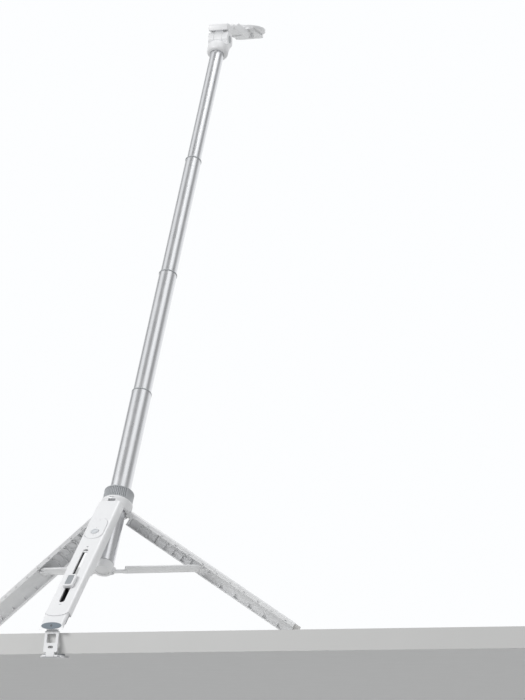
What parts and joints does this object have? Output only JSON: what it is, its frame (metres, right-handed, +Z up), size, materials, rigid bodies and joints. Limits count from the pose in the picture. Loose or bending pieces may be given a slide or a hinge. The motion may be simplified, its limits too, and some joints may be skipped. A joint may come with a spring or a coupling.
{
  "type": "selfie stick",
  "caption": "Telescopic selfie stick that opens into a stand, with a table-edge clamp in its front leg, a clip-in remote and a tilting magnetic phone disc on a hinged arm.",
  "frame": {"origin": "middle of the clamp pad's gripping face, which presses up against the underside of the table", "axes": "+Z up from the table, square to the clamp pad's gripping face; +Y points in over the table, the way the pole leans; +X is to the right"},
  "size_m": [0.4382, 0.7311, 0.8977],
  "materials": {
    "white": "fine satin moulded plastic",
    "grey": "satin moulded plastic",
    "dark": "matte moulded plastic",
    "tube": "bright drawn tube",
    "steel": "plain turned steel",
    "rubber": "matte blue-grey rubber"
  },
  "bodies": {
    "arm": {"arm": "white", "disc_hinge_pin": "steel"},
    "clamp_slider": {"clamp_knob": "white", "clamp_slider": "white", "hook_pin": "steel", "knob_pad": "rubber"},
    "hook_plate": {"clamp_pad": "rubber", "hook_plate": "white"},
    "front_leg": {"clamp_rack": "dark", "front_foot": "rubber", "front_leg": "white"},
    "root": {"collet": "grey", "hub_collar": "white", "leg_pin_front": "steel", "leg_pin_left": "steel", "leg_pin_right": "steel"},
    "disc_tilt": {"disc_carrier": "white"},
    "disc_spin": {"disc_pad_far": "rubber", "disc_pad_near": "rubber", "magnet_far": "steel", "magnet_near": "steel", "phone_disc": "white"},
    "head": {"head_fork": "white", "head_pin": "steel"},
    "hook_arm": {"hook_arm": "white", "plate_pin": "steel"},
    "lock_ring": {"lock_ring": "grey"},
    "rear_leg_left": {"rear_foot_left": "rubber", "rear_leg_left": "white", "strut_pin_left": "steel"},
    "rear_leg_right": {"rear_foot_right": "rubber", "rear_leg_right": "white", "strut_pin_right": "steel"},
    "remote": {"remote_base": "white", "remote_board": "dark", "remote_cell": "steel", "remote_top": "white"},
    "remote_button": {"remote_button": "grey"},
    "pole_1": {"spreader_hub": "white", "tube_1": "tube", "tube_1_rim": "grey"},
    "strut_left": {"strut_left": "white"},
    "strut_right": {"strut_right": "white"},
    "pole_2": {"tube_2": "tube", "tube_2_rim": "grey"},
    "pole_3": {"tube_3": "tube", "tube_3_rim": "grey"},
    "pole_4": {"tube_4": "tube"}
  },
  "joints": [
    {"name": "lock_ring_turn", "type": "hinge", "parent": "root", "child": "lock_ring", "pos_m": [0, 0.19264, 0.17719], "axis": [0, 0.5, 0.866], "range_deg": [0, 75]},
    {"name": "rear_leg_fold", "type": "hinge", "parent": "root", "child": "rear_leg_right", "pos_m": [0.01334, 0.20101, 0.17628], "axis": [-0.5, 0.75, -0.433], "range_deg": [0, 67.5]},
    {"name": "rear_leg_left_fold", "type": "hinge", "parent": "root", "child": "rear_leg_left", "pos_m": [-0.01334, 0.20101, 0.17628], "axis": [-0.5, -0.75, 0.433], "range_deg": [0, 67.5]},
    {"name": "pole_slide", "type": "slide", "parent": "root", "child": "pole_1", "axis": [0, 0.5, 0.866], "range_m": [-0.1516, 0]},
    {"name": "strut_right_fold", "type": "hinge", "parent": "rear_leg_right", "child": "strut_right", "pos_m": [0.10822, 0.2251, 0.10845], "axis": [-0.5, 0.75, -0.433], "range_deg": [-138.83, 0]},
    {"name": "strut_left_fold", "type": "hinge", "parent": "rear_leg_left", "child": "strut_left", "pos_m": [-0.10822, 0.2251, 0.10845], "axis": [-0.5, -0.75, 0.433], "range_deg": [-138.83, 0]},
    {"name": "tube_2_slide", "type": "slide", "parent": "pole_1", "child": "pole_2", "axis": [0, 0.5, 0.866], "range_m": [-0.1881, 0]},
    {"name": "tube_3_slide", "type": "slide", "parent": "pole_2", "child": "pole_3", "axis": [0, 0.5, 0.866], "range_m": [-0.1911, 0]},
    {"name": "tube_4_slide", "type": "slide", "parent": "pole_3", "child": "pole_4", "axis": [0, 0.5, 0.866], "range_m": [-0.1907, 0]},
    {"name": "head_swivel", "type": "hinge", "parent": "pole_4", "child": "head", "pos_m": [0, 0.58284, 0.85304], "axis": [0, 0.5, 0.866], "range_deg": [-100, 100]},
    {"name": "arm_hinge", "type": "hinge", "parent": "head", "child": "arm", "pos_m": [0, 0.58284, 0.85304], "axis": [1, 0, 0], "range_deg": [-120, 60]},
    {"name": "disc_tilt", "type": "hinge", "parent": "arm", "child": "disc_tilt", "pos_m": [0, 0.68784, 0.88254], "axis": [1, 0, 0], "range_deg": [-180, 0]},
    {"name": "disc_spin", "type": "hinge", "parent": "disc_tilt", "child": "disc_spin", "pos_m": [0, 0.68784, 0.88254], "axis": [0, 0, 1], "continuous": true},
    {"name": "front_leg_fold", "type": "hinge", "parent": "root", "child": "front_leg", "pos_m": [0, 0.181, 0.18783], "axis": [1, 0, 0], "range_deg": [-44, 19.8]},
    {"name": "remote_lift", "type": "slide", "parent": "front_leg", "child": "remote", "axis": [0, -0.6455, 0.7638], "range_m": [0, 0.03]},
    {"name": "shutter_press", "type": "slide", "parent": "remote", "child": "remote_button", "axis": [0, 0.6455, -0.7638], "range_m": [0, 0.0006], "stiffness_N_per_m": 400},
    {"name": "clamp_slide", "type": "slide", "parent": "front_leg", "child": "clamp_slider", "axis": [0, -0.7638, -0.6455], "range_m": [-0.0535, 0.026]},
    {"name": "hook_swing", "type": "hinge", "parent": "clamp_slider", "child": "hook_arm", "pos_m": [0, -0.00439, 0.03012], "axis": [1, 0, 0], "range_deg": [-36, 24]},
    {"name": "plate_fold", "type": "hinge", "parent": "hook_arm", "child": "hook_plate", "pos_m": [0, -0.0125, -0.0029], "axis": [1, 0, 0], "range_deg": [-103.8, 0]}
  ],
  "couplings": [
    {"joint": "rear_leg_fold", "follows": "pole_slide", "rad_per_m": -7.7481},
    {"joint": "rear_leg_left_fold", "follows": "pole_slide", "rad_per_m": -7.7481},
    {"joint": "strut_right_fold", "follows": "pole_slide", "rad_per_m": 15.96},
    {"joint": "strut_left_fold", "follows": "pole_slide", "rad_per_m": 15.96}
  ]
}
